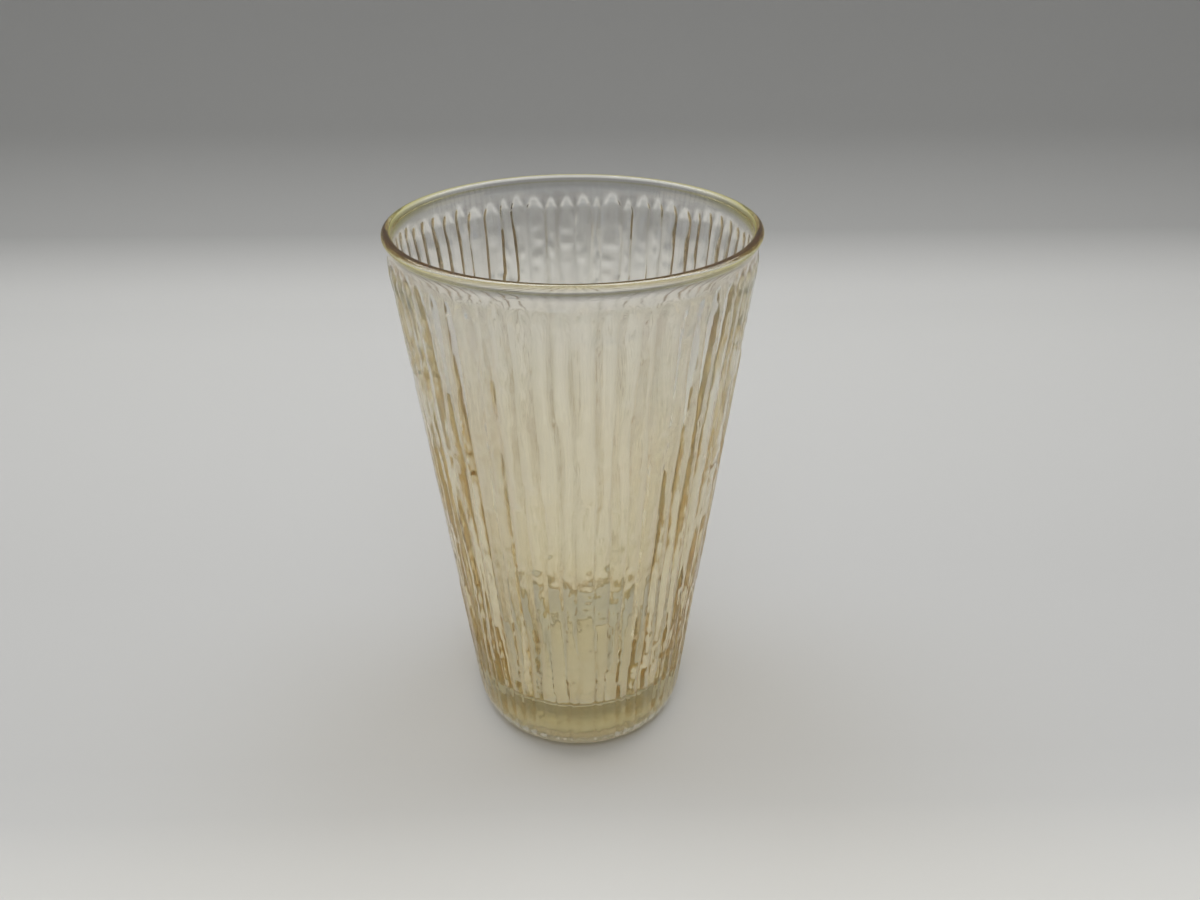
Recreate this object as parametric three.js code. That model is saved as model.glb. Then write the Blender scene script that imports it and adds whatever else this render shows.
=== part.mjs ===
// A pressed glass tumbler: one tapered body with an irregular bark of upright bars outside, a smooth inside,
// a plain collar, a rounded rim and a thick base.
// Millimetres, +Z up, origin on the table under the middle of the foot.
import * as THREE from "three";

// Overall sizes
const HEIGHT = 133; // table to the top of the rim
const RIM_DIAMETER = 81; // across the outside of the rim
const BASE_DIAMETER = 55.6; // across the bars, where the taper of the wall meets the table

// Glass thickness
const RIM_WALL = 2; // the rounded rim
const LOWER_WALL = 4; // from the bars' faces to the inside, at the level of the inside floor
const FLOOR_HEIGHT = 15; // table to the inside floor

// Foot and inside corner
const HEEL_RADIUS = 6;
const FOOT_RING_WIDTH = 5; // flat ring that the tumbler stands on
const PUNT_DEPTH = 0.8; // hollow inside the foot ring
const PUNT_SLOPE_WIDTH = 3; // sloping edge of that hollow
const FLOOR_CORNER_RADIUS = 3;

// Bark of upright bars
const BAR_COUNT = 60;
const BAR_RELIEF = 0.6; // bars above the grooves and above the collar
const GROOVE_WIDTH = 1.3; // across the mouth of a groove at the rim, narrowing with the taper
const GROOVE_SCATTER = 0.12; // how far a groove may stand from its even place, in bar spacings
const GROOVE_WANDER = 0.06; // how far a groove strays sideways on its way up, in bar spacings
const COLLAR_HEIGHT = 4.4; // top of the rim to the highest tips of the bars
const TIP_LENGTH = 4; // arched upper end of a bar
const TIP_SCATTER = 1.4; // how far a tip may stop short of the highest ones
const TIP_WIDTH = 1.1; // width left at the very tip of a bar
const PLATE_COUNT = 6; // plates of bark on a bar, one above the other
const PLATE_STEP = 0.32; // most that a plate lies below the bars' faces
const STEP_RISE = 0.9; // height over which one plate gives way to the next
const STEP_SCATTER = 0.32; // how far a step may stand from its even height, in plate lengths

// Facets
const COLUMNS_PER_BAR = 3; // the groove's bottom and the bar's two edges
const HEEL_FACETS = 3;
const CORNER_FACETS = 3;
const RIM_FACETS = 5;
const RIM_START = THREE.MathUtils.degToRad(-45); // where the collar runs into the rim's round

// Worked out from the sizes above
const rimCentreHeight = HEIGHT - RIM_WALL / 2;
const rimCentreRadius = (RIM_DIAMETER - RIM_WALL) / 2;
const wallSlope = (RIM_DIAMETER - BASE_DIAMETER) / 2 / rimCentreHeight;
const faceRadius = (z) => BASE_DIAMETER / 2 + wallSlope * z;
const insideFloorRadius = faceRadius(FLOOR_HEIGHT) - LOWER_WALL;
const insideSlope = (RIM_DIAMETER / 2 - RIM_WALL - insideFloorRadius) / (rimCentreHeight - FLOOR_HEIGHT);
const tipHeight = HEIGHT - COLLAR_HEIGHT;
const barPitch = (2 * Math.PI) / BAR_COUNT;
const grooveAngleWidth = GROOVE_WIDTH / (RIM_DIAMETER / 2);
const tipAngleWidth = TIP_WIDTH / (RIM_DIAMETER / 2);

// A fixed scatter from 0 to 1 for each bar and each thing that varies on it.
function scatter(bar, thing) {
  const wave = Math.sin((bar % BAR_COUNT) * 12.9898 + thing * 78.233) * 43758.5453;
  return wave - Math.floor(wave);
}

// The same, from -1 to 1.
const spread = (bar, thing) => 2 * scatter(bar, thing) - 1;

// What the scatter is drawn for; plates take PLATE_LEVEL and STEP_HEIGHT plus their own number.
const GROOVE_PLACE = 1;
const WANDER_PHASE = 2;
const TIP_PLACE = 3;
const PLATE_LEVEL = 10;
const STEP_HEIGHT = 50;

// Angle of a groove's bottom at a height: scattered round the wall, with a slow stray on the way up.
function grooveAngle(bar, z) {
  const place = GROOVE_SCATTER * spread(bar, GROOVE_PLACE);
  const turns = (2 * Math.PI * z) / HEIGHT;
  const phase = 2 * Math.PI * scatter(bar, WANDER_PHASE);
  const stray = GROOVE_WANDER * (Math.sin(2 * turns + phase) + Math.sin(5 * turns + 3 * phase) / 2);
  return barPitch * (bar + place + stray);
}

// The arc that rounds a level floor into a leaning wall, from the floor up.
function cornerArc(floorRadius, floorHeight, slope, radius, facets) {
  const centre = floorRadius + radius * (slope - Math.hypot(1, slope));
  const end = -Math.atan(slope);
  return Array.from({ length: facets + 1 }, (_, i) => {
    const angle = THREE.MathUtils.lerp(-Math.PI / 2, end, i / facets);
    return { r: centre + radius * Math.cos(angle), z: floorHeight + radius * (1 + Math.sin(angle)) };
  });
}

// Hollow under the foot, and the flat ring round it.
function undersideRows(footRadius) {
  const puntEdge = footRadius - FOOT_RING_WIDTH;
  return [
    { r: 0, z: PUNT_DEPTH },
    { r: puntEdge - PUNT_SLOPE_WIDTH, z: PUNT_DEPTH },
    { r: puntEdge, z: 0 },
  ];
}

// The heel: the bars run round it and die away at the foot ring.
function heelRows(arc) {
  return arc.map((point, i) => {
    const share = i / HEEL_FACETS;
    return { ...point, relief: BAR_RELIEF * Math.sin((Math.PI / 2) * share) };
  });
}

// The wall: two rows at each step between plates, below and above it.
function wallRows(bottom) {
  const top = tipHeight - TIP_SCATTER - TIP_LENGTH;
  const plateLength = (top - bottom) / PLATE_COUNT;
  const stagger = STEP_SCATTER * plateLength;
  const rows = [];
  for (let step = 1; step < PLATE_COUNT; step++) {
    const middle = bottom + step * plateLength;
    rows.push({ z: middle - STEP_RISE / 2, step, level: step - 1 });
    rows.push({ z: middle + STEP_RISE / 2, step, level: step });
  }
  return rows.map((row) => ({ ...row, r: faceRadius(row.z), relief: BAR_RELIEF, stagger }));
}

// The arched ends of the bars, which narrow and then fall to the collar.
function tipRows() {
  const stages = [
    { below: 1, close: 0, fall: 0 },
    { below: 0.4, close: 0.4, fall: 0 },
    { below: 0.1, close: 1, fall: 0.2 },
    { below: 0, close: 1, fall: 1 },
  ];
  return stages.map(({ below, close, fall }) => {
    const z = tipHeight - below * TIP_LENGTH;
    return { r: faceRadius(z), z, relief: BAR_RELIEF, level: PLATE_COUNT - 1, close, fall };
  });
}

// The rounded rim, from the collar over the top to the inside.
function rimRows() {
  return Array.from({ length: RIM_FACETS + 1 }, (_, i) => {
    const angle = THREE.MathUtils.lerp(RIM_START, Math.PI, i / RIM_FACETS);
    return {
      r: rimCentreRadius + (RIM_WALL / 2) * Math.cos(angle),
      z: rimCentreHeight + (RIM_WALL / 2) * Math.sin(angle),
    };
  });
}

// The smooth inside corner and floor, from the wall down to the middle.
function insideRows() {
  const arc = cornerArc(insideFloorRadius, FLOOR_HEIGHT, insideSlope, FLOOR_CORNER_RADIUS, CORNER_FACETS);
  return [...arc.reverse(), { r: 0, z: FLOOR_HEIGHT }];
}

// Where a vertex of a bark row lies: part 0 is the groove's bottom before a bar, 1 and 2 are the bar's edges.
function barkPoint(row, bar, part) {
  const start = grooveAngle(bar, row.z);
  if (part === 0) return { angle: start, radius: row.r - row.relief, z: row.z };

  const end = grooveAngle(bar + 1, row.z);
  const edge = THREE.MathUtils.lerp(grooveAngleWidth, end - start - tipAngleWidth, row.close ?? 0) / 2;
  const angle = part === 1 ? start + edge : end - edge;
  const stepShift = row.step ? row.stagger * spread(bar, STEP_HEIGHT + row.step) : 0;
  const tipShift = row.close === undefined ? 0 : TIP_SCATTER * scatter(bar, TIP_PLACE);
  const z = row.z + stepShift - tipShift;
  const plateDrop = row.level === undefined ? 0 : PLATE_STEP * scatter(bar, PLATE_LEVEL + row.level);
  const drop = THREE.MathUtils.lerp(plateDrop, BAR_RELIEF, row.fall ?? 0);
  return { angle, radius: row.r + wallSlope * (z - row.z) - drop, z };
}

// The whole body turned from one profile, with the bark pressed into its outer rows.
function bodyGeometry() {
  const heelArc = cornerArc(BASE_DIAMETER / 2, 0, wallSlope, HEEL_RADIUS, HEEL_FACETS);
  const rows = [
    ...undersideRows(heelArc[0].r),
    ...heelRows(heelArc),
    ...wallRows(heelArc[HEEL_FACETS].z),
    ...tipRows(),
    ...rimRows(),
    ...insideRows(),
  ];
  const columns = BAR_COUNT * COLUMNS_PER_BAR;
  const geometry = new THREE.LatheGeometry(
    rows.map(({ r, z }) => new THREE.Vector2(r, z)),
    columns,
  );
  const position = geometry.getAttribute("position");
  for (let column = 0; column <= columns; column++) {
    const bar = Math.floor(column / COLUMNS_PER_BAR);
    const part = column % COLUMNS_PER_BAR;
    rows.forEach((row, i) => {
      if (!row.relief) return;
      const { angle, radius, z } = barkPoint(row, bar, part);
      position.setXYZ(column * rows.length + i, radius * Math.sin(angle), z, radius * Math.cos(angle));
    });
  }
  geometry.rotateX(Math.PI / 2);
  geometry.computeVertexNormals();
  return geometry;
}

const lustreGlass = new THREE.MeshStandardMaterial({
  color: 0xe6dcb2,
  roughness: 0.12,
  metalness: 0,
  transparent: true,
  opacity: 0.6,
});

const tumbler = new THREE.Mesh(bodyGeometry(), lustreGlass);
tumbler.name = "tumbler";

const part = new THREE.Group();
part.add(tumbler);

export default part;
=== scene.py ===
"""A pressed glass tumbler with a pale lustre and an irregular bark of upright bars, on a studio sweep.

The glass is one body: a profile spun round the upright axis, with the bark pressed into its outer rows.
Lengths are metres, +Z is up, and the origin is on the table under the middle of the foot.
"""

import math
from collections import namedtuple
from functools import cache

import bmesh
import bpy
from bpy.props import FloatProperty, FloatVectorProperty, IntProperty, PointerProperty
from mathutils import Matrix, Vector, noise


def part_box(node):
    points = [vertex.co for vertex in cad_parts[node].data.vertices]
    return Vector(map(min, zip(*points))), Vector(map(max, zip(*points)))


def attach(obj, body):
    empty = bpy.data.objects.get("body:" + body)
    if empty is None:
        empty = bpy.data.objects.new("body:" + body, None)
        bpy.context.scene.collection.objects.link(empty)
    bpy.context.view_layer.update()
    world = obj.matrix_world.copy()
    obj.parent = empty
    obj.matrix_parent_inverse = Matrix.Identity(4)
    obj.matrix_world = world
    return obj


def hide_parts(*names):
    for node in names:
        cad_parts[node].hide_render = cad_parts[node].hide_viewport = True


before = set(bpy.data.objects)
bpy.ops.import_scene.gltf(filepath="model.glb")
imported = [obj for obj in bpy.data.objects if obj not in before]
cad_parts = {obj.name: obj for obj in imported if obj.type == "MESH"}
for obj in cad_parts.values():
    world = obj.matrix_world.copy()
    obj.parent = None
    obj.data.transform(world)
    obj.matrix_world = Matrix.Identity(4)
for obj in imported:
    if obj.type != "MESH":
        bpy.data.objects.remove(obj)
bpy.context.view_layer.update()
GLASS_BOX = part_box("tumbler")
GLASS_WIDTH = GLASS_BOX[1].x - GLASS_BOX[0].x

bl_info = {
    "name": "Bark glass tumbler",
    "version": (1, 0, 0),
    "blender": (4, 5, 0),
    "location": "View3D > Sidebar > Tumbler",
    "description": "Builds a lustred pressed glass tumbler with a bark of upright bars, and its stage",
    "category": "Add Mesh",
}

MM = 0.001
MERGE_DISTANCE = 1e-7
PHOTO_WIDTH = 1200

# Columns of the mesh across one bar, from the groove before it to the groove after it
GROOVE, LEFT_SIDE, LEFT_EDGE, LEFT_FACE, RIGHT_FACE, RIGHT_EDGE, RIGHT_SIDE = range(7)
COLUMNS_PER_BAR = 7

# How far across a bar's flat face its two inner columns stand
FACE_PLACES = {LEFT_FACE: 1 / 3, RIGHT_FACE: 2 / 3}

# How much painted shade each column takes in the grooves
GROOVE_SHADE_SHARES = {GROOVE: 1.0, LEFT_SIDE: 0.6, RIGHT_SIDE: 0.6, LEFT_EDGE: 0.15, RIGHT_EDGE: 0.15}

# Zones of the profile
UNDERSIDE, HEEL, WALL, COLLAR, RIM, INSIDE = range(6)
BARK_ZONES = (HEEL, WALL)

# How much of the film each zone holds
FILM_SHARES = {UNDERSIDE: 0.8, HEEL: 0.25, WALL: 1.0, COLLAR: 0.5, RIM: 1.0, INSIDE: 0.0}

# How much of the satin finish each zone has
SATIN_SHARES = {UNDERSIDE: 0.3, HEEL: 0.9, WALL: 1.0, COLLAR: 0.6, RIM: 0.0, INSIDE: 0.0}

# Facets of the profile
PUNT_STEPS = 5
HEEL_STEPS = 9
RIM_STEPS = 16
INSIDE_STEPS = 5
CORNER_STEPS = 7

# The collar flares into the rim's bead, and the bead's inner side is squarer than a circle
FLARE_PLACES = (0.35, 0.7)
FLARE_POWER = 3
BEAD_START = math.radians(-64)
LIP_POWER = 0.6

# What the scatter is drawn for
GROOVE_PLACE = 1
WANDER_PHASE = 2
TIP_PLACE = 3
PLATE_LEVEL = 10
STEP_HEIGHT = 50
JOG = 70
TILT = 90
CHIP_PHASE = 91
LEFT_BEVEL = 93
RIGHT_BEVEL = 94

# Numbers that stir the scatter
BAR_STIR = 12.9898
THING_STIR = 78.233
STIR_REACH = 43758.5453

# A value that follows a wave round a middle, within limits
Swing = namedtuple("Swing", "middle reach least most")

# A groove strays in slow waves, and half as far in quick ones
SLOW_WAVES = 2
QUICK_WAVES = 5
QUICK_PHASE = 3

# Grooves run out and come back, and their sides turn steeper and gentler, on the way up
GROOVE_SWING = Swing(middle=0.9, reach=0.7, least=0.3, most=1.25)
GROOVE_RUN = 22 * MM
GROOVE_NOISE_STEP = 3.7
GROOVE_NOISE_SLICE = 4.7
SIDE_RUN = 30 * MM
SIDE_NOISE_STEP = 1.7
SIDE_REACH = 0.6
LEAST_SIDE = 0.15 * MM

# Chips lie in patches, deeper towards the rim, and the crinkles fade out on the way up
CHIP_SWING = Swing(middle=0.6, reach=1.5, least=0.1, most=1.3)
CHIP_PATCH_WIDTH = 14 * MM
CHIP_PATCH_LENGTH = 12 * MM
CHIP_SHIFT = 9
CHIP_SHARPNESS = 6
CHIP_DEPTH_AT_FOOT = 0.3
CHIP_DEPTH_AT_RIM = 1.25
CRINKLE_TOP = 0.6

# Nibbles along the bars' edges are shorter, in millimetres, and deeper towards the foot
NIBBLE_AT_FOOT = 1.6
NIBBLE_AT_RIM = 3.2
NIBBLE_DEPTH_AT_FOOT = 1.8
NIBBLE_NOISE_STEP = 2.3
NIBBLE_DIMENSION = 1.0
NIBBLE_LACUNARITY = 2.0
NIBBLE_OCTAVES = 2

# Shares of a bar's width: where its edges are measured, and the most that a side or an arch takes
LEFT_PLACE = 0.2
RIGHT_PLACE = 0.8
WIDEST_SIDE = 0.42
WIDEST_ARCH = 0.48

# The arched end of a bar: how soon and how far it closes, and where it leans back and falls to the collar
ARCH_SPEED = 3
ARCH_WIDTH = 0.34
ARCH_POWER = 1.3
TIP_ROUGHNESS = 0.15
LEAN_START = 0.35
LEAN_DEPTH = 0.8
FALL_START = 0.88

# The bark is shallower at the foot
FOOT_DEPTH = 0.5
FOOT_FADE = 10 * MM

# Refraction of the glass and of the film on it
GLASS_IOR = 1.5
FILM_IOR = 1.7

# Roughness of the polished glass, of the finely ground underside, and the least for light held inside
POLISHED = 0.015
GROUND = 0.22
HELD_ROUGHNESS = 0.1

# Where the finish changes: heights above the table, and the foot's edge from the middle
UNDERSIDE_TOP = (0.9 * MM, 1.4 * MM)
HEEL_SHADE = (3.0 * MM, 9.0 * MM)
HEEL_SATIN = (9.0 * MM, 13.0 * MM)
FOOT_EDGE = (21.8 * MM, 22.6 * MM)

# And depths below the top of the rim
RIM_FILM = (3.2 * MM, 2.2 * MM)
GRAIN_END = (10.0 * MM, 6.0 * MM)

# How much paler than the film the light is that falls through it
PALING = 0.5

# Height of the fine crinkles and the grain
CRINKLE_BUMP = 0.025 * MM

# The sweep: where its floor starts, where its backdrop stands, and the curve between them
SWEEP_HALF_WIDTH = 1.6
SWEEP_FRONT = -1.6
SWEEP_WALL = 0.37
SWEEP_CURVE = 0.08
SWEEP_TOP = 1.0
SWEEP_STEPS = 16

# Fades of the sweep's paper into its next colour, which paint light and shade: paler far behind and in
# front, palest near the camera, greyer up the curve and the backdrop; from and to along an axis, and the
# most of that colour
PaperFade = namedtuple("PaperFade", "axis low high most colour")
PAPER_FADES = (
    PaperFade("Y", 0.05, 0.24, 1.0, "far_colour"),
    PaperFade("Y", -0.03, -0.08, 1.0, "far_colour"),
    PaperFade("Y", -0.045, -0.08, 1.0, "near_colour"),
    PaperFade("Z", 0.0, 0.024, 0.7, "wall_colour"),
    PaperFade("Z", 0.02, 0.16, 1.0, "wall_colour"),
)

# How far from the tumbler the paper's shade is lifted through the glass, and how brightly
LIFT_REACH = (0.06, 0.12)
LIFT_STRENGTH = 1.25

# Soft lamps, with their power in watts; some show in reflections or through the glass
Softbox = namedtuple("Softbox", "name place aim width depth power mirrored seen_through")
SOFTBOXES = (
    Softbox("softbox_left", (-0.28, 0.17, 0.58), (0.0, 0.05, 0.0), 0.35, 0.5, 1.68, True, False),
    Softbox("softbox_right", (0.28, 0.17, 0.58), (0.0, 0.05, 0.0), 0.35, 0.5, 1.6, True, False),
    Softbox("softbox_front", (0.0, -0.25, 0.4), (0.0, -0.1, 0.0), 0.2, 0.15, 0.45, False, False),
    Softbox("panel_left", (-0.7, 0.0, 0.25), (0.0, 0.0, 0.1), 0.7, 0.5, 0.65, True, True),
    Softbox("panel_right", (0.7, 0.0, 0.25), (0.0, 0.0, 0.1), 0.7, 0.5, 0.65, True, True),
)

# How steeply up a direction has to point to meet the brighter light overhead
OVERHEAD_EDGE = (0.7, 0.95)

Row = namedtuple("Row", "radius height zone")
Surface = namedtuple("Surface", "coordinates level reach climb film groove satin")


def length(name, description, millimetres):
    """A length that a user may change."""
    return FloatProperty(
        name=name, description=description, default=millimetres * MM, min=0.0,
        unit="LENGTH", subtype="DISTANCE", precision=5,
    )


def degrees(name, description, number):
    """An angle that a user may change."""
    return FloatProperty(
        name=name, description=description, default=math.radians(number),
        unit="ROTATION", subtype="ANGLE",
    )


def share(name, description, default):
    """A plain factor that a user may change."""
    return FloatProperty(name=name, description=description, default=default)


def colour(name, description, default):
    """A colour that a user may change."""
    return FloatVectorProperty(
        name=name, description=description, default=default, size=3,
        subtype="COLOR", min=0.0, max=1.0,
    )


class TumblerSizes(bpy.types.PropertyGroup):
    """Sizes of the glass body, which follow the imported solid."""

    height: length("Height", "Table to the top of the rim", GLASS_BOX[1].z / MM)
    rim_diameter: length("Rim diameter", "Across the outside of the rim", GLASS_WIDTH / MM)
    base_diameter: length("Base diameter", "Across the bars where the taper meets the table", 55.6)
    rim_wall: length("Rim wall", "Thickness of the rounded rim", 2.0)
    lower_wall: length("Lower wall", "From the bars' faces to the inside at the inside floor", 4.0)
    floor_height: length("Floor height", "Table to the inside floor", 15.0)
    heel_radius: length("Heel radius", "Round between the wall and the foot", 6.0)
    foot_ring: length("Foot ring", "Width of the flat ring that the tumbler stands on", 5.0)
    punt_depth: length("Punt depth", "Hollow inside the foot ring", 0.8)
    punt_slope: length("Punt slope", "Width of the sloping edge of the hollow", 3.0)
    floor_corner: length("Floor corner", "Round between the inside wall and floor", 3.0)


class BarkSettings(bpy.types.PropertyGroup):
    """The irregular bars pressed into the outside."""

    bar_count: IntProperty(name="Bars", description="Bars round the wall", default=60, min=3)
    groove_scatter: share("Groove scatter", "Groove from its even place, in bar spacings", 0.12)
    groove_wander: share("Groove wander", "Stray of a groove on its way up, in bar spacings", 0.06)
    collar_height: length("Collar", "Top of the rim to the highest tips", 4.4)
    collar_depth: length("Collar depth", "Collar below the bars' faces", 0.64)
    tip_length: length("Tip length", "Arched upper end of a bar", 4.0)
    tip_bevel: length("Tip bevel", "Width of the sides of a bar along its arched end", 0.4)
    tip_scatter: length("Tip scatter", "How far a tip stops short of the highest", 1.4)
    plate_count: IntProperty(name="Plates", description="Plates of bark on a bar", default=6, min=1)
    plate_step: length("Plate step", "Most that a plate lies below the bars' faces", 0.32)
    step_rise: length("Step rise", "Height over which one plate gives way to the next", 0.9)
    step_scatter: share("Step scatter", "Step from its even height, in plate lengths", 0.32)
    groove_depth: length("Groove depth", "Usual depth of a groove below the bars' faces", 0.95)
    gentle_side: degrees("Gentle side", "Slope of the gentlest side of a bar", 16)
    steep_side: degrees("Steep side", "Slope of the steepest side of a bar", 34)
    jog: share("Jog", "Sideways jump of a groove from plate to plate, in bar spacings", 0.09)
    ragged: length("Ragged edge", "How far the edges of the bars are nibbled in and out", 0.3)
    tilt: length("Tilt", "Most that one edge of a bar stands above the other", 0.5)
    chip_length: length("Chip length", "Length of the small chips along a bar", 3.2)
    chip_width: length("Chip width", "Length of the small chips across the bars", 5.0)
    chip_depth: length("Chip depth", "Most that a small chip lies below its plate", 0.22)
    crinkle_length: length("Crinkle length", "Length of the fine crinkles low on the wall", 1.35)
    crinkle_width: length("Crinkle width", "Width of the fine crinkles low on the wall", 1.7)
    crinkle_depth: length("Crinkle depth", "Most that a fine crinkle lies below its plate", 0.09)
    row_height: length("Row height", "Height of the mesh rows on the wall", 0.66)


class LustreSettings(bpy.types.PropertyGroup):
    """Colours and finish of the lustred glass."""

    clear: colour("Clear", "What bare glass lets through", (1.0, 1.0, 1.0))
    film_high: colour("Film at the rim", "Let through near the rim", (0.96, 0.95, 0.93))
    film_low: colour("Film at the foot", "Let through near the foot", (1.0, 0.885, 0.6))
    # The two groove colours darken the glass along the grooves: painted shade in the creases, grey near the
    # rim
    groove_shade_high: colour("Pooled at the rim", "Let through by grooves near the rim", (0.5, 0.465, 0.42))
    groove_shade_low: colour("Pooled at the foot", "Let through by grooves near the foot", (0.8, 0.62, 0.36))
    slant_high: colour("Slant at the rim", "Let through at a slant near the rim", (0.9, 0.87, 0.79))
    slant_rim: colour("Slant on the rim", "Let through at a slant on the rim itself", (1.0, 0.9, 0.16))
    slant_low: colour("Slant at the foot", "Let through at a slant near the foot", (0.76, 0.56, 0.29))
    bounce_high: colour("Bounce at the rim", "Thrown back inside near the rim", (0.98, 0.945, 0.88))
    # The groove bounce colour paints dark lines into the grooves on light thrown back there
    bounce_groove: colour("Bounce in the grooves", "Thrown back by the pooled film", (0.68, 0.61, 0.52))
    bounce_low: colour("Bounce at the foot", "Thrown back inside near the foot", (0.97, 0.82, 0.58))
    passage_slant: colour("Slant passage", "Light that falls through at a slant", (0.66, 0.62, 0.54))
    passage_heel: colour("Heel passage", "Light that falls through the heel", (0.42, 0.38, 0.3))
    body_tint: colour("Body tint", "Colour that the glass body keeps", (0.73, 0.71, 0.43))
    body_density: share("Body density", "How strongly the glass body absorbs, per metre", 18.0)


class StageSettings(bpy.types.PropertyGroup):
    """The sweep, the soft light and the camera."""

    # The floor, far floor, near floor and backdrop colours paint the light and shade on the sweep: darker
    # round the tumbler, paler away from it, palest near the camera, greyer up the backdrop
    floor_colour: colour("Floor", "Colour of the floor round the tumbler", (0.515, 0.515, 0.507))
    far_colour: colour("Far floor", "Colour of the floor in front and behind", (0.58, 0.58, 0.567))
    near_colour: colour("Near floor", "Colour of the floor close to the camera", (0.66, 0.655, 0.63))
    wall_colour: colour("Backdrop", "Colour of the upright backdrop", (0.28, 0.28, 0.275))
    lift: share("Lift", "Share of its shade that the paper loses when seen through the glass", 0.34)
    round_light: colour("Light all round", "Colour of the light from all round", (0.15, 0.15, 0.149))
    overhead_light: colour("Light overhead", "Colour of the light from overhead", (0.6, 0.6, 0.595))
    camera_distance: length("Camera distance", "Camera in front of the tumbler's axis", 190.99)
    camera_height: length("Camera height", "Camera above the table", 188.9)
    camera_pitch: degrees("Camera pitch", "Tilt below level", 30.663)
    camera_yaw: degrees("Camera yaw", "Turn to the right of the axis", 1.715)
    lens_pixels: share("Lens", "Focal length in pixels of the photograph's width", 901.0)


def lerp(start, end, factor):
    """Between start and end by factor."""
    return start + (end - start) * factor


def clamp(value, least=0.0, most=1.0):
    """A value kept within limits."""
    return min(most, max(least, value))


def smooth(factor):
    """An eased 0 to 1."""
    factor = clamp(factor)
    return factor * factor * (3 - 2 * factor)


def follow(swing, wave):
    """The value of a swing at a wave."""
    return clamp(swing.middle + swing.reach * wave, swing.least, swing.most)


class Profile:
    """Radii and heights of the body, worked out from its sizes."""

    def __init__(self, sizes, bark):
        self.sizes = sizes
        self.bark = bark
        self.rim_height = sizes.height - sizes.rim_wall / 2
        self.rim_radius = (sizes.rim_diameter - sizes.rim_wall) / 2
        self.slope = (sizes.rim_diameter - sizes.base_diameter) / 2 / self.rim_height
        self.floor_radius = self.face(sizes.floor_height) - sizes.lower_wall
        inner_rim = sizes.rim_diameter / 2 - sizes.rim_wall
        self.inside_slope = (inner_rim - self.floor_radius) / (self.rim_height - sizes.floor_height)
        self.tip_height = sizes.height - bark.collar_height

    def face(self, height):
        """Radius of the bars' faces."""
        return self.sizes.base_diameter / 2 + self.slope * height

    def inside(self, height):
        """Radius of the inside wall."""
        return self.floor_radius + self.inside_slope * (height - self.sizes.floor_height)

    def corner(self, radius_at_floor, floor, slope, radius, steps):
        """The arc that rounds a level floor into a leaning wall, from the floor up."""
        centre = radius_at_floor + radius * (slope - math.hypot(1, slope))
        for step in range(steps + 1):
            angle = lerp(-math.pi / 2, -math.atan(slope), step / steps)
            yield centre + radius * math.cos(angle), floor + radius * (1 + math.sin(angle))

    def underside(self, foot_radius):
        """The hollow under the foot, with an eased edge, and the flat ring round it."""
        sizes = self.sizes
        edge = foot_radius - sizes.foot_ring
        yield Row(0.0, sizes.punt_depth, UNDERSIDE)
        yield Row((edge - sizes.punt_slope) / 2, sizes.punt_depth, UNDERSIDE)
        for step in range(PUNT_STEPS + 1):
            left = 1 - step / PUNT_STEPS
            yield Row(edge - sizes.punt_slope * left, sizes.punt_depth * smooth(left), UNDERSIDE)

    def rows(self):
        """The whole profile, from the middle of the underside round to the middle of the inside floor."""
        sizes = self.sizes
        floor = sizes.floor_height
        heel = list(self.corner(sizes.base_diameter / 2, 0.0, self.slope, sizes.heel_radius, HEEL_STEPS))
        corner = list(
            self.corner(self.floor_radius, floor, self.inside_slope, sizes.floor_corner, CORNER_STEPS)
        )
        rows = list(self.underside(heel[0][0]))
        rows += [Row(radius, height, HEEL) for radius, height in heel]
        bottom = heel[-1][1]
        count = round((self.tip_height - bottom) / self.bark.row_height)
        for step in range(1, count + 1):
            height = lerp(bottom, self.tip_height, step / count)
            rows.append(Row(self.face(height), height, WALL))
        rows += self.rim()
        for step in range(1, INSIDE_STEPS):
            height = lerp(self.rim_height, corner[-1][1], step / INSIDE_STEPS)
            rows.append(Row(self.inside(height), height, INSIDE))
        rows += [Row(radius, height, INSIDE) for radius, height in reversed(corner)]
        rows.append(Row(corner[0][0] / 2, floor, INSIDE))
        rows.append(Row(0.0, floor, INSIDE))
        return rows

    def rim(self):
        """The plain collar's flare and the rounded rim."""
        bead = self.sizes.rim_wall / 2
        collar_radius = self.face(self.tip_height) - self.bark.collar_depth
        flare_radius = self.rim_radius + bead * math.cos(BEAD_START)
        flare_height = self.rim_height + bead * math.sin(BEAD_START)
        for place in FLARE_PLACES:
            radius = lerp(collar_radius, flare_radius, place ** FLARE_POWER)
            yield Row(radius, lerp(self.tip_height, flare_height, place), COLLAR)
        for step in range(RIM_STEPS + 1):
            angle = lerp(BEAD_START, math.pi, step / RIM_STEPS)
            out, up = math.cos(angle), math.sin(angle)
            if out < 0:
                out, up = -(-out) ** LIP_POWER, max(0.0, up) ** LIP_POWER
            yield Row(self.rim_radius + bead * out, self.rim_height + bead * up, RIM)


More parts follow.
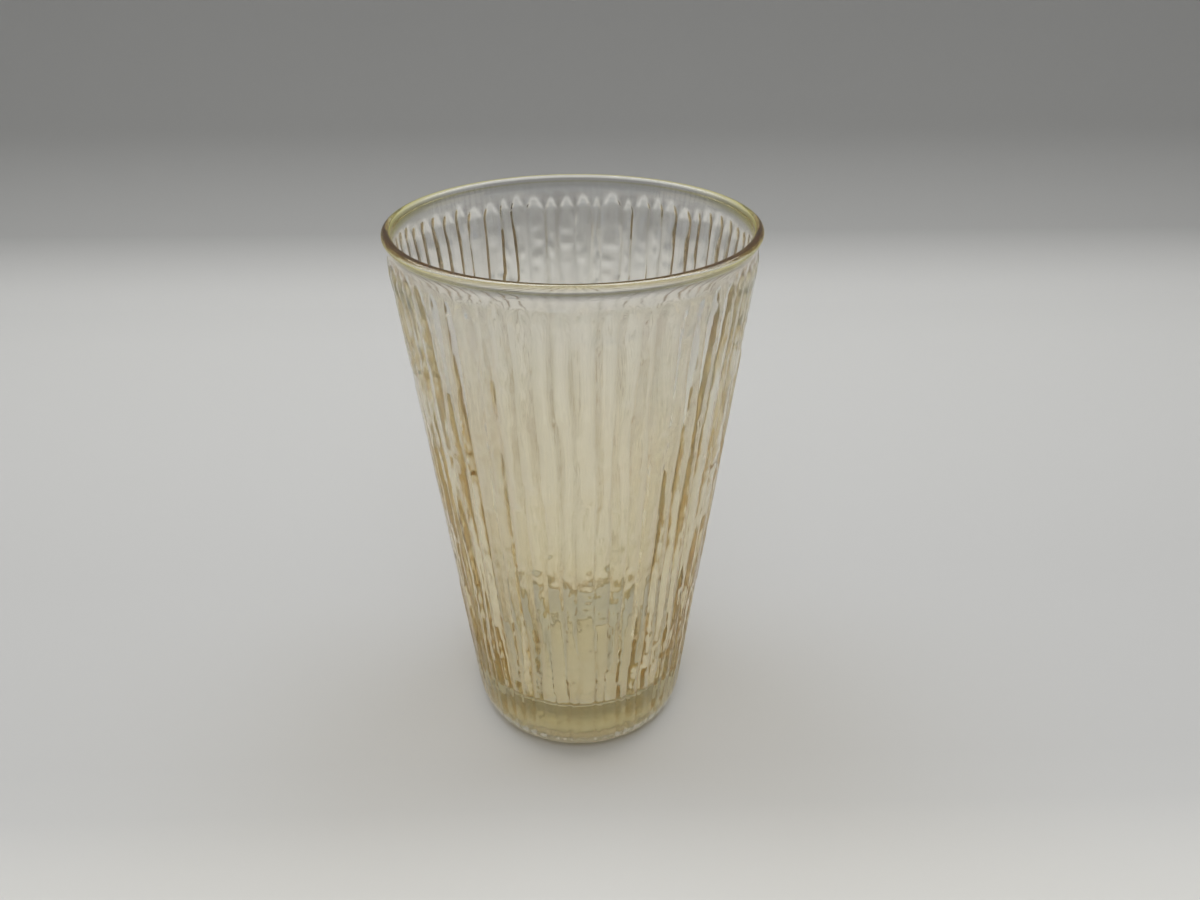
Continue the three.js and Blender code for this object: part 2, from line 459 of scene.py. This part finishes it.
class Bark:
    """The pressed bars: where their grooves run and how far each point lies below the bars' faces."""

    def __init__(self, settings, profile):
        self.settings = settings
        self.profile = profile
        self.pitch = math.tau / settings.bar_count
        self.rim_radius = profile.sizes.rim_diameter / 2
        self.bottom = profile.sizes.heel_radius * (1 - math.sin(math.atan(profile.slope)))
        self.top = profile.tip_height - settings.tip_scatter - settings.tip_length
        self.plate_length = (self.top - self.bottom) / settings.plate_count

    def scatter(self, bar, thing):
        """A fixed scatter from 0 to 1 for each bar and each thing that varies on it."""
        wave = math.sin((bar % self.settings.bar_count) * BAR_STIR + thing * THING_STIR) * STIR_REACH
        return wave - math.floor(wave)

    def spread(self, bar, thing):
        """The same, from -1 to 1."""
        return 2 * self.scatter(bar, thing) - 1

    def climb(self, height):
        """How far up the tumbler a height is: 0 on the table, 1 at the top."""
        return height / self.profile.sizes.height

    @cache
    def groove_angle(self, bar, height):
        """Angle of a groove's bottom: scattered round the wall, straying and jogging on the way up."""
        place = self.settings.groove_scatter * self.spread(bar, GROOVE_PLACE)
        turns = math.tau * height / self.profile.sizes.height
        phase = math.tau * self.scatter(bar, WANDER_PHASE)
        waves = math.sin(SLOW_WAVES * turns + phase)
        waves += math.sin(QUICK_WAVES * turns + QUICK_PHASE * phase) / 2
        stray = self.settings.groove_wander * waves
        jog = self.settings.jog * (2 * self.plates(bar, height, JOG) - 1)
        return self.pitch * (bar + place + stray + jog)

    @cache
    def plates(self, bar, height, thing):
        """A scatter that holds along each plate of a bar and changes at the steps between them."""
        settings = self.settings
        level = self.scatter(bar, thing)
        for step in range(1, settings.plate_count):
            shift = settings.step_scatter * self.plate_length * self.spread(bar, STEP_HEIGHT + step)
            middle = self.bottom + step * self.plate_length + shift
            climb = smooth((height - middle) / settings.step_rise + 0.5)
            level = lerp(level, self.scatter(bar, thing + step), climb)
        return level

    def wave(self, angle, height, hill_width, hill_length):
        """Noise round the wall, with hills of a width and a length."""
        reach = self.rim_radius / hill_width
        return noise.noise(Vector((reach * math.cos(angle), reach * math.sin(angle), height / hill_length)))

    def chips(self, angle, height, width, length_up):
        """Flat patches with sloping ends: 0 outside them, 1 inside."""
        return (1 + math.tanh(CHIP_SHARPNESS * self.wave(angle, height, width, length_up))) / 2

    def chip_drop(self, bar, across, height):
        """Depth of the small chips and the fine crinkles across a bar."""
        settings = self.settings
        climb = self.climb(height)
        angle = self.pitch * (bar + across)
        shifted = height + CHIP_SHIFT * settings.chip_length * self.scatter(bar, CHIP_PHASE)
        chipped = follow(CHIP_SWING, self.wave(angle, height, CHIP_PATCH_WIDTH, CHIP_PATCH_LENGTH))
        coarse = self.chips(angle, shifted, settings.chip_width, settings.chip_length)
        fine = self.chips(angle, shifted, settings.crinkle_width, settings.crinkle_length)
        depth = settings.chip_depth * lerp(CHIP_DEPTH_AT_FOOT, CHIP_DEPTH_AT_RIM, climb) * chipped * coarse
        return depth + settings.crinkle_depth * (1 - smooth(climb / CRINKLE_TOP)) * fine

    @cache
    def groove_depth(self, bar, height):
        """How deep a groove is along its way: some run out and come back."""
        step = GROOVE_NOISE_STEP * (bar % self.settings.bar_count)
        wave = noise.noise(Vector((step, height / GROOVE_RUN, GROOVE_NOISE_SLICE)))
        taper = self.profile.face(height) / self.rim_radius
        return taper * self.settings.groove_depth * follow(GROOVE_SWING, wave)

    @cache
    def side_slope(self, bar, height, thing):
        """Slope of one side of a bar, changing slowly on the way up."""
        wave = noise.noise(Vector((bar * SIDE_NOISE_STEP, height / SIDE_RUN, thing)))
        draw = clamp(self.scatter(bar, thing) + SIDE_REACH * wave)
        return math.tan(lerp(self.settings.gentle_side, self.settings.steep_side, draw))

    @cache
    def nibble(self, bar, height, side):
        """Ragged ins and outs along one edge of a bar."""
        climb = self.climb(height)
        nibble_length = lerp(NIBBLE_AT_FOOT, NIBBLE_AT_RIM, climb) * MM
        place = Vector((bar * NIBBLE_NOISE_STEP, height / nibble_length, side))
        wave = noise.fractal(place, NIBBLE_DIMENSION, NIBBLE_LACUNARITY, NIBBLE_OCTAVES)
        return self.settings.ragged * lerp(NIBBLE_DEPTH_AT_FOOT, 1.0, climb) * wave

    @cache
    def face_drop(self, bar, height, across):
        """How far a bar's face lies below the smooth cone."""
        settings = self.settings
        tilt = settings.tilt * (2 * self.plates(bar, height, TILT) - 1) * (across - 0.5)
        plate = settings.plate_step * self.plates(bar, height, PLATE_LEVEL)
        depth = max(0.0, plate + self.chip_drop(bar, across, height) + tilt)
        return depth * lerp(1.0, TIP_ROUGHNESS, smooth(self.tip_climb(bar, height) + 1))

    @cache
    def tip_climb(self, bar, height):
        """How far up the arched end of a bar a height is: 0 where it starts, 1 at the tip."""
        tip = self.profile.tip_height - self.settings.tip_scatter * self.scatter(bar, TIP_PLACE)
        return (height - (tip - self.settings.tip_length)) / self.settings.tip_length

    @cache
    def side(self, bar, height, groove, thing, across):
        """Depth of the groove beside a bar, drop of the bar's edge there and the side's width in metres."""
        climb = self.tip_climb(bar, height)
        depth = lerp(self.groove_depth(groove, height), self.settings.collar_depth, smooth(climb + 1))
        edge = min(self.face_drop(bar, height, across), depth)
        width = (depth - edge) / self.side_slope(bar, height, thing) + self.nibble(bar, height, thing)
        least = (depth - edge) / math.tan(self.settings.steep_side)
        return depth, edge, max(LEAST_SIDE, least, width)

    def column(self, bar, part, height, width):
        """How far across a bar of a width one of its columns stands, and how far below the smooth cone."""
        left_depth, left_drop, left_width = self.side(bar, height, bar, LEFT_BEVEL, LEFT_PLACE)
        right_depth, right_drop, right_width = self.side(bar, height, bar + 1, RIGHT_BEVEL, RIGHT_PLACE)
        climb = clamp(self.tip_climb(bar, height))
        arching = smooth(ARCH_SPEED * climb)
        foot = ARCH_WIDTH * climb ** ARCH_POWER
        bevel = self.settings.tip_bevel / width
        left = foot + min(lerp(min(WIDEST_SIDE, left_width / width), bevel, arching), WIDEST_ARCH - foot)
        right = foot + min(lerp(min(WIDEST_SIDE, right_width / width), bevel, arching), WIDEST_ARCH - foot)
        rising = 0.5 * (1 - arching)
        if part == GROOVE:
            return 0.0, left_depth
        if part == LEFT_SIDE:
            return lerp(left / 2, foot, arching), lerp(left_depth, left_drop, rising)
        if part == LEFT_EDGE:
            return left, left_drop
        if part == RIGHT_EDGE:
            return 1 - right, right_drop
        if part == RIGHT_SIDE:
            return 1 - lerp(right / 2, foot, arching), lerp(right_depth, right_drop, rising)
        across = lerp(left, 1 - right, FACE_PLACES[part])
        return across, min(self.face_drop(bar, height, round(across, 3)), left_depth, right_depth)

    def settle(self, row, bar, drop):
        """A drop that leans back to the collar along a bar's tip and fades out round the heel."""
        climb = clamp(self.tip_climb(bar, row.height))
        collar = self.settings.collar_depth
        leaning = clamp((climb - LEAN_START) / (1 - LEAN_START))
        falling = smooth((climb - FALL_START) / (1 - FALL_START))
        drop = lerp(lerp(drop, LEAN_DEPTH * collar, leaning), collar, falling)
        if row.zone == HEEL:
            drop *= math.sin(math.pi / 2 * min(1.0, row.height / self.bottom))
        return drop * lerp(FOOT_DEPTH, 1.0, smooth((row.height - self.bottom) / FOOT_FADE))

    def point(self, row, bar, part):
        """Angle, radius and groove share of one column of a bar at a row's height."""
        start = self.groove_angle(bar, row.height)
        end = self.groove_angle(bar + 1, row.height)
        across, drop = self.column(bar, part, row.height, (end - start) * row.radius)
        radius = row.radius - self.settle(row, bar, drop)
        return lerp(start, end, across), radius, GROOVE_SHADE_SHARES.get(part, 0.0)


def spin_profile(rows, columns):
    """The profile spun round the axis, with each vertex holding the number of its row."""
    bm = bmesh.new()
    row_layer = bm.verts.layers.int.new("row")
    line = []
    for index, row in enumerate(rows):
        vert = bm.verts.new((0.0, -row.radius, row.height))
        vert[row_layer] = index
        line.append(vert)
    edges = [bm.edges.new(pair) for pair in zip(line, line[1:])]
    bmesh.ops.spin(
        bm, geom=line + edges, cent=(0, 0, 0), axis=(0, 0, 1), dvec=(0, 0, 0),
        angle=math.tau, steps=columns, use_merge=True, use_duplicate=False,
    )
    bmesh.ops.remove_doubles(bm, verts=bm.verts[:], dist=MERGE_DISTANCE)
    return bm, row_layer


def press_bark(bm, row_layer, rows, bark):
    """Moves the outer rows into the bark, and marks each point's film, satin and groove."""
    film = bm.verts.layers.float.new("film")
    groove = bm.verts.layers.float.new("groove")
    satin = bm.verts.layers.float.new("satin")
    columns = bark.settings.bar_count * COLUMNS_PER_BAR
    for vert in bm.verts:
        row = rows[vert[row_layer]]
        vert[film] = FILM_SHARES[row.zone]
        vert[satin] = SATIN_SHARES[row.zone]
        if row.zone in BARK_ZONES:
            turn = math.atan2(vert.co.x, -vert.co.y) / math.tau
            bar, part = divmod(round(turn * columns) % columns, COLUMNS_PER_BAR)
            angle, radius, groove_shade = bark.point(row, bar, part)
            vert.co = (radius * math.sin(angle), -radius * math.cos(angle), row.height)
            vert[groove] = groove_shade
            below_tips = smooth((bark.profile.tip_height - row.height) / bark.settings.tip_scatter)
            vert[film] = lerp(FILM_SHARES[COLLAR], FILM_SHARES[row.zone], below_tips)
            vert[satin] = lerp(SATIN_SHARES[COLLAR], SATIN_SHARES[row.zone], below_tips)


def shade_smooth(bm):
    """Faces that point outwards and shade smoothly."""
    bmesh.ops.recalc_face_normals(bm, faces=bm.faces[:])
    for face in bm.faces:
        face.smooth = True


def add_object(scene, name, bm, material):
    """A finished mesh put into the scene with its material."""
    mesh = bpy.data.meshes.new(name)
    bm.to_mesh(mesh)
    bm.free()
    mesh.materials.append(material)
    made = bpy.data.objects.new(name, mesh)
    scene.collection.objects.link(made)
    return made


def new_material(name):
    """An empty node material and its output."""
    material = bpy.data.materials.new(name)
    material.use_nodes = True
    material.node_tree.nodes.clear()
    output = material.node_tree.nodes.new("ShaderNodeOutputMaterial")
    return material, material.node_tree, output


def mix_colours(tree, factor, first, second):
    """A colour mix; each side is a socket or a plain colour."""
    mix = tree.nodes.new("ShaderNodeMix")
    mix.data_type = "RGBA"
    for socket, value in ((mix.inputs[0], factor), (mix.inputs[6], first), (mix.inputs[7], second)):
        if isinstance(value, bpy.types.NodeSocket):
            tree.links.new(value, socket)
        elif isinstance(value, float):
            socket.default_value = value
        else:
            socket.default_value = (*value, 1.0)
    return mix.outputs[2]


def mix_shaders(tree, factor, first, second):
    """A mix of two shaders."""
    mix = tree.nodes.new("ShaderNodeMixShader")
    for socket, value in zip(mix.inputs, (factor, first, second)):
        tree.links.new(value, socket)
    return mix.outputs[0]


def map_range(tree, value, low, high, start=0.0, end=1.0):
    """A value from low to high put onto start to end."""
    node = tree.nodes.new("ShaderNodeMapRange")
    tree.links.new(value, node.inputs["Value"])
    for name, number in (("From Min", low), ("From Max", high), ("To Min", start), ("To Max", end)):
        node.inputs[name].default_value = number
    return node.outputs["Result"]


def calculate(tree, operation, first, second=0.0):
    """A sum on two values, each a socket or a number."""
    node = tree.nodes.new("ShaderNodeMath")
    node.operation = operation
    for socket, value in zip(node.inputs, (first, second)):
        if isinstance(value, bpy.types.NodeSocket):
            tree.links.new(value, socket)
        else:
            socket.default_value = value
    return node.outputs[0]


def multiply(tree, first, second):
    """The product of two values."""
    return calculate(tree, "MULTIPLY", first, second)


def split_axes(tree, vector):
    """The X, Y and Z of a vector."""
    node = tree.nodes.new("ShaderNodeSeparateXYZ")
    tree.links.new(vector, node.inputs[0])
    return node.outputs


def reach_of(tree, vector):
    """How far a place is from the origin."""
    node = tree.nodes.new("ShaderNodeVectorMath")
    node.operation = "LENGTH"
    tree.links.new(vector, node.inputs[0])
    return node.outputs["Value"]


def noise_on(tree, coordinates, scale, stretch=(1, 1, 1), detail=3.0):
    """Noise on the piece's own coordinates, stretched along an axis."""
    mapping = tree.nodes.new("ShaderNodeMapping")
    mapping.inputs["Scale"].default_value = stretch
    tree.links.new(coordinates, mapping.inputs["Vector"])
    texture = tree.nodes.new("ShaderNodeTexNoise")
    texture.inputs["Scale"].default_value = scale
    texture.inputs["Detail"].default_value = detail
    tree.links.new(mapping.outputs["Vector"], texture.inputs["Vector"])
    return texture.outputs["Fac"]


def attribute(tree, name):
    """A float attribute of the mesh."""
    node = tree.nodes.new("ShaderNodeAttribute")
    node.attribute_name = name
    return node.outputs["Fac"]


def read_surface(tree, height):
    """What the lustre follows: the place on the piece, and the shares that its mesh holds."""
    coordinates = tree.nodes.new("ShaderNodeTexCoord").outputs["Object"]
    level = split_axes(tree, coordinates)["Z"]
    return Surface(
        coordinates=coordinates,
        level=level,
        reach=reach_of(tree, coordinates),
        climb=map_range(tree, level, 0.0, height),
        film=attribute(tree, "film"),
        groove=attribute(tree, "groove"),
        satin=attribute(tree, "satin"),
    )


def slant_outside(tree):
    """How far from square on a ray crosses the surface, on the air side: 0 square on, 1 grazing."""
    facing = tree.nodes.new("ShaderNodeLayerWeight")
    facing.inputs["Blend"].default_value = 0.5
    from_inside = tree.nodes.new("ShaderNodeNewGeometry").outputs["Backfacing"]
    cosine = calculate(tree, "SUBTRACT", 1.0, facing.outputs["Facing"])
    sine_squared = calculate(tree, "SUBTRACT", 1.0, multiply(tree, cosine, cosine))
    bending = map_range(tree, from_inside, 0.0, 1.0, start=1.0, end=GLASS_IOR ** 2)
    outer_squared = calculate(tree, "SUBTRACT", 1.0, multiply(tree, sine_squared, bending))
    outer = calculate(tree, "SQRT", calculate(tree, "MAXIMUM", outer_squared, 0.0))
    return calculate(tree, "SUBTRACT", 1.0, outer)


def film_colour(tree, surface, settings, height):
    """What the glass and its film let through: deeper towards the foot and at a slant, and darker along the
    grooves, which is painted shade.
    """
    towards_rim = map_range(tree, surface.climb, 0.5, 0.92)
    film = mix_colours(tree, towards_rim, settings.film_low, settings.film_high)
    patches = noise_on(tree, surface.coordinates, scale=55.0, stretch=(1, 1, 0.35))
    film = mix_colours(tree, map_range(tree, patches, 0.35, 0.7, end=0.3), film, settings.clear)
    streaks = noise_on(tree, surface.coordinates, scale=110.0, stretch=(1, 1, 0.3))
    # Painted shade: the glass darkens along the grooves, in streaks
    groove_shading = multiply(tree, surface.groove, map_range(tree, streaks, 0.35, 0.7, end=0.85))
    groove_shade = mix_colours(tree, surface.climb, settings.groove_shade_low, settings.groove_shade_high)
    film = mix_colours(tree, groove_shading, film, groove_shade)
    on_rim = map_range(tree, surface.level, *[height - depth for depth in RIM_FILM])
    slanting = mix_colours(tree, surface.climb, settings.slant_low, settings.slant_high)
    slanting = mix_colours(tree, on_rim, slanting, settings.slant_rim)
    film = mix_colours(tree, map_range(tree, slant_outside(tree), 0.2, 0.85), film, slanting)
    return mix_colours(tree, surface.film, settings.clear, film)


def bare_roughness(tree, surface):
    """Roughness of the glass without its satin: polished, and finely ground underneath, inside the foot."""
    underneath = map_range(tree, surface.level, *UNDERSIDE_TOP, start=1.0, end=0.0)
    in_foot = map_range(tree, surface.reach, *FOOT_EDGE, start=GROUND, end=0.0)
    return calculate(tree, "MAXIMUM", multiply(tree, underneath, in_foot), POLISHED)


def satin_roughness(tree, surface, bare):
    """Roughness of the whole glass: a patchy satin on the bark, finer low down and dull at the heel."""
    patches = map_range(tree, noise_on(tree, surface.coordinates, scale=320.0), 0.3, 0.75, start=0.6)
    finer_below = map_range(tree, surface.climb, 0.35, 0.55, start=0.08, end=0.16)
    dull_heel = map_range(tree, surface.level, *HEEL_SATIN, start=2.0, end=1.0)
    satin = multiply(tree, multiply(tree, patches, finer_below), dull_heel)
    return calculate(tree, "MAXIMUM", multiply(tree, satin, surface.satin), bare)


def crinkled_normal(tree, surface, height):
    """A bump of fine crinkles on the bark, with upright grain below the bars' tips."""
    crinkle = noise_on(tree, surface.coordinates, scale=330.0, stretch=(0.6, 0.6, 1.3))
    rougher_below = map_range(tree, surface.climb, 0.25, 0.65, start=1.4, end=1.0)
    grain = noise_on(tree, surface.coordinates, scale=1400.0, stretch=(1, 1, 0.06), detail=1.0)
    ending = [height - depth for depth in GRAIN_END]
    below_tips = map_range(tree, surface.level, *ending, start=1.8, end=0.0)
    rough = calculate(tree, "ADD", multiply(tree, crinkle, rougher_below), multiply(tree, grain, below_tips))
    bump = tree.nodes.new("ShaderNodeBump")
    bump.inputs["Distance"].default_value = CRINKLE_BUMP
    bump.inputs["Strength"].default_value = 1.0
    tree.links.new(multiply(tree, rough, surface.satin), bump.inputs["Height"])
    return bump.outputs["Normal"]


def bounce_colour(tree, surface, settings):
    """What the film throws back of light held inside, with painted dark lines in the grooves on the first
    few bounces.
    """
    bounce = mix_colours(tree, surface.climb, settings.bounce_low, settings.bounce_high)
    in_groove = map_range(tree, surface.groove, 0.1, 0.6)
    above_heel = map_range(tree, surface.climb, 0.15, 0.35)
    bounces = tree.nodes.new("ShaderNodeLightPath").outputs["Ray Depth"]
    met_first = map_range(tree, bounces, 3.0, 6.0, start=1.0, end=0.0)
    # Painted shade: dark lines in the grooves, on the first few bounces only
    painted_lines = multiply(tree, multiply(tree, in_groove, above_heel), met_first)
    return mix_colours(tree, painted_lines, bounce, settings.bounce_groove)


def hold_light(tree, shader, surface, tint, bare):
    """The glass, with the film's tint on light that is held inside and thrown back from the film."""
    from_inside = tree.nodes.new("ShaderNodeNewGeometry").outputs["Backfacing"]
    held = multiply(tree, from_inside, map_range(tree, slant_outside(tree), 0.9, 0.999))
    mirror = tree.nodes.new("ShaderNodeBsdfGlossy")
    tree.links.new(tint, mirror.inputs["Color"])
    tree.links.new(calculate(tree, "MAXIMUM", bare, HELD_ROUGHNESS), mirror.inputs["Roughness"])
    filmed = multiply(tree, surface.film, surface.satin)
    return mix_shaders(tree, multiply(tree, held, filmed), shader, mirror.outputs["BSDF"])


def let_light_through(tree, shader, surface, tint, settings):
    """The glass, with a plain tinted passage for the light that falls through it onto other things."""
    path = tree.nodes.new("ShaderNodeLightPath")
    passing = calculate(tree, "MAXIMUM", path.outputs["Is Shadow Ray"], path.outputs["Is Diffuse Ray"])
    at_slant = map_range(tree, slant_outside(tree), 0.65, 1.0)
    past_foot = map_range(tree, surface.reach, *FOOT_EDGE)
    low = map_range(tree, surface.level, *HEEL_SHADE, start=1.0, end=0.0)
    falling = mix_colours(tree, PALING, tint, settings.clear)
    falling = mix_colours(tree, at_slant, falling, settings.passage_slant)
    falling = mix_colours(tree, multiply(tree, past_foot, low), falling, settings.passage_heel)
    passage = tree.nodes.new("ShaderNodeBsdfTransparent")
    tree.links.new(falling, passage.inputs["Color"])
    return mix_shaders(tree, passing, shader, passage.outputs["BSDF"])


def lustre_glass(settings, height):
    """Clear pressed glass with a pale film outside, deeper towards the foot, and with painted shade along
    the grooves.
    """
    material, tree, output = new_material("lustre_glass")
    surface = read_surface(tree, height)
    tint = film_colour(tree, surface, settings, height)
    bare = bare_roughness(tree, surface)
    ripple = noise_on(tree, surface.coordinates, scale=70.0)
    film_thickness = map_range(tree, ripple, 0.3, 0.7, start=255.0, end=295.0)

    glass = tree.nodes.new("ShaderNodeBsdfPrincipled")
    glass.inputs["IOR"].default_value = GLASS_IOR
    glass.inputs["Transmission Weight"].default_value = 1.0
    glass.inputs["Thin Film IOR"].default_value = FILM_IOR
    tree.links.new(multiply(tree, film_thickness, surface.satin), glass.inputs["Thin Film Thickness"])
    tree.links.new(tint, glass.inputs["Base Color"])
    tree.links.new(satin_roughness(tree, surface, bare), glass.inputs["Roughness"])
    tree.links.new(crinkled_normal(tree, surface, height), glass.inputs["Normal"])

    bounce = bounce_colour(tree, surface, settings)
    shader = hold_light(tree, glass.outputs["BSDF"], surface, bounce, bare)
    shader = let_light_through(tree, shader, surface, tint, settings)
    tree.links.new(shader, output.inputs["Surface"])

    body = tree.nodes.new("ShaderNodeVolumeAbsorption")
    body.inputs["Color"].default_value = (*settings.body_tint, 1.0)
    body.inputs["Density"].default_value = settings.body_density
    tree.links.new(body.outputs["Volume"], output.inputs["Volume"])
    return material


class TUMBLER_OT_press_glass(bpy.types.Operator):
    """Press the glass body with its bark, rim and foot"""

    bl_idname = "tumbler.press_glass"
    bl_label = "Press the glass"

    def execute(self, context):
        scene = context.scene
        profile = Profile(scene.tumbler_sizes, scene.tumbler_bark)
        rows = profile.rows()
        bm, row_layer = spin_profile(rows, scene.tumbler_bark.bar_count * COLUMNS_PER_BAR)
        press_bark(bm, row_layer, rows, Bark(scene.tumbler_bark, profile))
        shade_smooth(bm)
        groove = bm.verts.layers.float["groove"]
        for edge in bm.edges:
            edge.smooth = any(vert[groove] < 1.0 for vert in edge.verts)
        glass = lustre_glass(scene.tumbler_lustre, scene.tumbler_sizes.height)
        body = add_object(scene, "glass_body", bm, glass)
        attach(body, "root")
        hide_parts("tumbler")
        return {"FINISHED"}


def sweep_paper(settings):
    """Matt paper with painted light and shade: darker round the tumbler, paler behind and in front, palest
    near the camera, greyer up the backdrop; seen through the glass it glows, a painted lift of its shade.
    """
    material, tree, output = new_material("sweep_paper")
    coordinates = tree.nodes.new("ShaderNodeTexCoord").outputs["Object"]
    axes = split_axes(tree, coordinates)
    paper = settings.floor_colour
    for fade in PAPER_FADES:
        faded = map_range(tree, axes[fade.axis], fade.low, fade.high, end=fade.most)
        paper = mix_colours(tree, faded, paper, getattr(settings, fade.colour))
    matt = tree.nodes.new("ShaderNodeBsdfPrincipled")
    matt.inputs["Roughness"].default_value = 0.9
    matt.inputs["Specular IOR Level"].default_value = 0.1
    tree.links.new(paper, matt.inputs["Base Color"])
    glow = tree.nodes.new("ShaderNodeEmission")
    glow.inputs["Strength"].default_value = LIFT_STRENGTH
    tree.links.new(paper, glow.inputs["Color"])
    through_glass = tree.nodes.new("ShaderNodeLightPath").outputs["Is Transmission Ray"]
    near = map_range(tree, reach_of(tree, coordinates), *LIFT_REACH, start=settings.lift, end=0.0)
    lift = multiply(tree, through_glass, near)
    shader = mix_shaders(tree, lift, matt.outputs["BSDF"], glow.outputs["Emission"])
    tree.links.new(shader, output.inputs["Surface"])
    return material


def add_sweep(scene, settings):
    """A floor that curves up into a backdrop."""
    bm = bmesh.new()
    outline = [(SWEEP_FRONT, 0.0)]
    for step in range(SWEEP_STEPS + 1):
        angle = lerp(-math.pi / 2, 0.0, step / SWEEP_STEPS)
        back = SWEEP_WALL - SWEEP_CURVE + SWEEP_CURVE * math.cos(angle)
        outline.append((back, SWEEP_CURVE + SWEEP_CURVE * math.sin(angle)))
    outline.append((SWEEP_WALL, SWEEP_TOP))
    line = [bm.verts.new((-SWEEP_HALF_WIDTH, y, z)) for y, z in outline]
    edges = [bm.edges.new(pair) for pair in zip(line, line[1:])]
    made = bmesh.ops.extrude_edge_only(bm, edges=edges)
    moved = [item for item in made["geom"] if isinstance(item, bmesh.types.BMVert)]
    bmesh.ops.translate(bm, verts=moved, vec=(2 * SWEEP_HALF_WIDTH, 0, 0))
    shade_smooth(bm)
    sweep = add_object(scene, "sweep", bm, sweep_paper(settings))


def add_softbox(scene, softbox):
    """A soft rectangular lamp at its place, turned to its aim."""
    lamp = bpy.data.lights.new(softbox.name, "AREA")
    lamp.shape = "RECTANGLE"
    lamp.size = softbox.width
    lamp.size_y = softbox.depth
    lamp.energy = softbox.power
    box = bpy.data.objects.new(softbox.name, lamp)
    box.location = softbox.place
    box.visible_glossy = softbox.mirrored
    box.visible_transmission = softbox.seen_through
    direction = Vector(softbox.aim) - Vector(softbox.place)
    box.rotation_euler = direction.to_track_quat("-Z", "Y").to_euler()
    scene.collection.objects.link(box)


def add_world(scene, settings):
    """Grey light from all round, brighter overhead."""
    world = bpy.data.worlds.new("studio")
    world.use_nodes = True
    tree = world.node_tree
    direction = tree.nodes.new("ShaderNodeTexCoord").outputs["Generated"]
    overhead = map_range(tree, split_axes(tree, direction)["Z"], *OVERHEAD_EDGE)
    light = mix_colours(tree, overhead, settings.round_light, settings.overhead_light)
    background = tree.nodes["Background"]
    background.inputs["Strength"].default_value = 1.0
    tree.links.new(light, background.inputs["Color"])
    scene.world = world


def add_camera(scene, settings):
    """The camera at the photograph's place."""
    data = bpy.data.cameras.new("camera")
    data.sensor_width = 36.0
    data.lens = settings.lens_pixels * data.sensor_width / PHOTO_WIDTH
    data.clip_start = 10 * MM
    camera = bpy.data.objects.new("camera", data)
    camera.location = (0.0, -settings.camera_distance, settings.camera_height)
    camera.rotation_euler = (math.pi / 2 - settings.camera_pitch, 0.0, -settings.camera_yaw)
    scene.collection.objects.link(camera)
    scene.camera = camera


class TUMBLER_OT_set_stage(bpy.types.Operator):
    """Set the sweep, the soft light and the camera"""

    bl_idname = "tumbler.set_stage"
    bl_label = "Set the stage"

    def execute(self, context):
        scene = context.scene
        settings = scene.tumbler_stage
        scene.view_settings.view_transform = "Standard"
        scene.cycles.max_bounces = 40
        scene.cycles.glossy_bounces = 24
        scene.cycles.transmission_bounces = 40
        add_sweep(scene, settings)
        for softbox in SOFTBOXES:
            add_softbox(scene, softbox)
        add_world(scene, settings)
        add_camera(scene, settings)
        return {"FINISHED"}


class TUMBLER_PT_panel(bpy.types.Panel):
    """The tumbler's steps and sizes"""

    bl_label = "Bark glass tumbler"
    bl_space_type = "VIEW_3D"
    bl_region_type = "UI"
    bl_category = "Tumbler"

    def draw(self, context):
        layout = self.layout
        layout.operator(TUMBLER_OT_press_glass.bl_idname)
        layout.operator(TUMBLER_OT_set_stage.bl_idname)
        for name in GROUPS:
            group = getattr(context.scene, name)
            box = layout.box()
            for key in group.__annotations__:
                box.prop(group, key)


GROUPS = {
    "tumbler_sizes": TumblerSizes,
    "tumbler_bark": BarkSettings,
    "tumbler_lustre": LustreSettings,
    "tumbler_stage": StageSettings,
}
CLASSES = (*GROUPS.values(), TUMBLER_OT_press_glass, TUMBLER_OT_set_stage, TUMBLER_PT_panel)


def register():
    for item in CLASSES:
        bpy.utils.register_class(item)
    for name, group in GROUPS.items():
        setattr(bpy.types.Scene, name, PointerProperty(type=group))


def unregister():
    for name in GROUPS:
        delattr(bpy.types.Scene, name)
    for item in reversed(CLASSES):
        bpy.utils.unregister_class(item)


def main():
    register()
    bpy.ops.tumbler.press_glass()
    bpy.ops.tumbler.set_stage()


if __name__ == "__main__":
    main()
